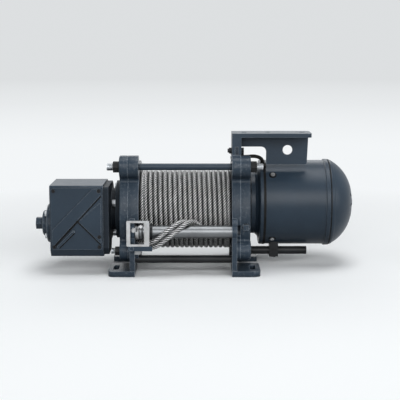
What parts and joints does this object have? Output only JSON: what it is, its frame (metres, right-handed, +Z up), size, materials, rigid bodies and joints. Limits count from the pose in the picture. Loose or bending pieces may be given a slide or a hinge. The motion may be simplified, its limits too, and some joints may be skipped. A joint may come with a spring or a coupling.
{
  "type": "electric winch hoist",
  "caption": "Electric winch hoist: a wire rope drum between cast end frames, with a gear case at one end, a motor at the other, slotted feet and a top bracket.",
  "frame": {"origin": "on the floor under the middle of the hoist's overall box", "axes": "+X along the drum axis from the gear case to the motor, -Y towards the rope guide bar, +Z up"},
  "size_m": [0.494, 0.1924, 0.2136],
  "materials": {
    "casting": "semi-gloss dark blue-grey paint over a cast surface",
    "case_paint": "satin dark blue-grey paint",
    "motor_paint": "semi-gloss dark blue-grey paint",
    "black_steel": "blackened steel",
    "bright_fastener": "zinc plated",
    "polished_steel": "brushed",
    "zinc_plate": "dull zinc plate",
    "wire_rope": "twisted wire",
    "rubber": "matt",
    "bronze": "machined",
    "machined_steel": "machined",
    "core_iron": "laminated",
    "copper": "enamelled wire",
    "fan_plastic": "moulded"
  },
  "bodies": {
    "frame": {"left_end_frame": "casting", "right_end_frame": "casting", "left_outer_housing": "casting", "right_gear_housing": "casting", "gear_case_backplate": "casting", "top_bracket": "casting", "bearing_end_cap": "casting", "hex_plug": "casting", "oil_plug": "casting", "gear_case": "case_paint", "gear_case_cover": "case_paint", "anchor_shelf": "case_paint", "motor_front_shield": "motor_paint", "motor_shell": "motor_paint", "fan_cowl": "motor_paint", "motor_rear_shield": "motor_paint", "top_tie_rod": "black_steel", "front_tie_rod": "black_steel", "rear_tie_rod": "black_steel", "support_rod": "black_steel", "support_clamp": "black_steel", "clamp_screw": "black_steel", "guide_bar_collar": "black_steel", "bracket_bolt": "black_steel", "tie_rod_nuts": "black_steel", "casting_bolts": "black_steel", "cover_screws": "black_steel", "case_mount_bolts": "bright_fastener", "cap_screws": "bright_fastener", "shell_screws": "bright_fastener", "anchor_screw": "bright_fastener", "rope_guide_bar": "polished_steel", "rope_anchor_frame": "zinc_plate", "rope_tail": "wire_rope", "motor_lead": "rubber", "lead_glands": "rubber", "drum_bush_left": "bronze", "drum_bush_right": "bronze", "drive_shaft_bushes": "bronze", "layshaft_bushes": "bronze", "drum_bearing_left": "machined_steel", "motor_bearings": "machined_steel", "stator_core": "core_iron", "brake_magnet": "core_iron", "stator_winding": "copper"},
    "drum_body": {"drum": "black_steel", "rope_winding": "wire_rope", "output_gear": "machined_steel", "hub_bushes": "bronze"},
    "drive_shaft_body": {"drive_shaft": "machined_steel", "first_stage_gear": "machined_steel", "input_pinion": "machined_steel"},
    "layshaft_body": {"layshaft": "machined_steel", "layshaft_gear": "machined_steel", "layshaft_pinion": "machined_steel"},
    "rotor_body": {"motor_shaft": "machined_steel", "motor_pinion": "machined_steel", "rotor_core": "core_iron", "brake_disc": "core_iron", "cooling_fan": "fan_plastic"}
  },
  "joints": [
    {"name": "drum_spin", "type": "hinge", "parent": "frame", "child": "drum_body", "pos_m": [0, 0, 0.09], "axis": [1, 0, 0], "continuous": true},
    {"name": "layshaft_spin", "type": "hinge", "parent": "frame", "child": "layshaft_body", "pos_m": [0, -0.03666, 0.074], "axis": [1, 0, 0], "continuous": true},
    {"name": "drive_shaft_spin", "type": "hinge", "parent": "frame", "child": "drive_shaft_body", "pos_m": [0, 0, 0.09], "axis": [1, 0, 0], "continuous": true},
    {"name": "rotor_spin", "type": "hinge", "parent": "frame", "child": "rotor_body", "pos_m": [0, 0.02763, 0.097], "axis": [1, 0, 0], "continuous": true}
  ],
  "couplings": [
    {"joint": "layshaft_spin", "follows": "drum_spin", "ratio": -3},
    {"joint": "drive_shaft_spin", "follows": "drum_spin", "ratio": 10.714},
    {"joint": "rotor_spin", "follows": "drum_spin", "ratio": -32.908}
  ]
}
